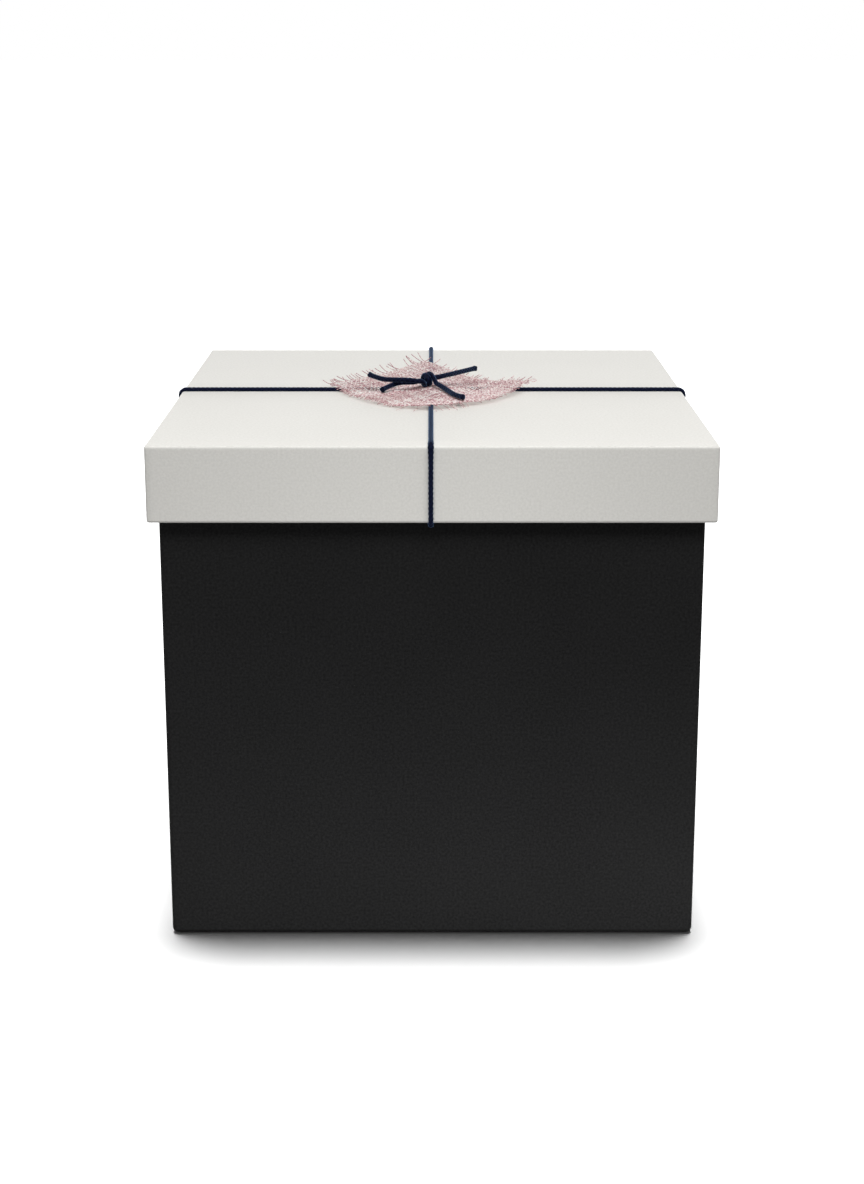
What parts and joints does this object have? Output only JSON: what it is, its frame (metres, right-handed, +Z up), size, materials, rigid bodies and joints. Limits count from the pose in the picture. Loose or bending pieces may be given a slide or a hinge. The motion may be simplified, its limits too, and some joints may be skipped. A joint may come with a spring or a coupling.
{
  "type": "gift box",
  "caption": "Deep square rigid gift box with a paper-covered base, a shallow lift-off lid, crossed cord and a knotted tie on a netting patch.",
  "frame": {"origin": "middle of the underside, on the surface it stands on", "axes": "+Z up, the way the lid lifts; front towards -Y, right towards +X"},
  "size_m": [0.224, 0.224, 0.2161],
  "materials": {
    "greyboard": "raw greyboard",
    "stay_tape": "plain kraft tape",
    "black_paper": "matt fine-grained covering paper",
    "ivory_paper": "matt fine-grained covering paper",
    "lining_paper": "plain uncoated lining paper",
    "navy_cord": "braided cord, slightly waxed",
    "pink_net": "open woven netting with frayed edges"
  },
  "bodies": {
    "base": {"base_floor_board": "greyboard", "base_front_board": "greyboard", "base_back_board": "greyboard", "base_left_board": "greyboard", "base_right_board": "greyboard", "base_corner_stay_front_left": "stay_tape", "base_corner_stay_front_right": "stay_tape", "base_corner_stay_back_left": "stay_tape", "base_corner_stay_back_right": "stay_tape", "base_wrap": "black_paper", "base_bottom_sheet": "black_paper", "base_wall_liner": "lining_paper", "base_floor_liner": "lining_paper"},
    "lid": {"lid_top_board": "greyboard", "lid_front_board": "greyboard", "lid_back_board": "greyboard", "lid_left_board": "greyboard", "lid_right_board": "greyboard", "lid_corner_stay_front_left": "stay_tape", "lid_corner_stay_front_right": "stay_tape", "lid_corner_stay_back_left": "stay_tape", "lid_corner_stay_back_right": "stay_tape", "lid_wrap": "ivory_paper", "lid_top_liner": "lining_paper", "cord_front_to_back": "navy_cord", "cord_left_to_right": "navy_cord", "tie_cord_core": "navy_cord", "tie_cord_wound": "navy_cord", "netting": "pink_net"}
  },
  "joints": [
    {"name": "lid_lift", "type": "slide", "parent": "base", "child": "lid", "axis": [0, 0, 1], "range_m": [0, 0.24]}
  ]
}
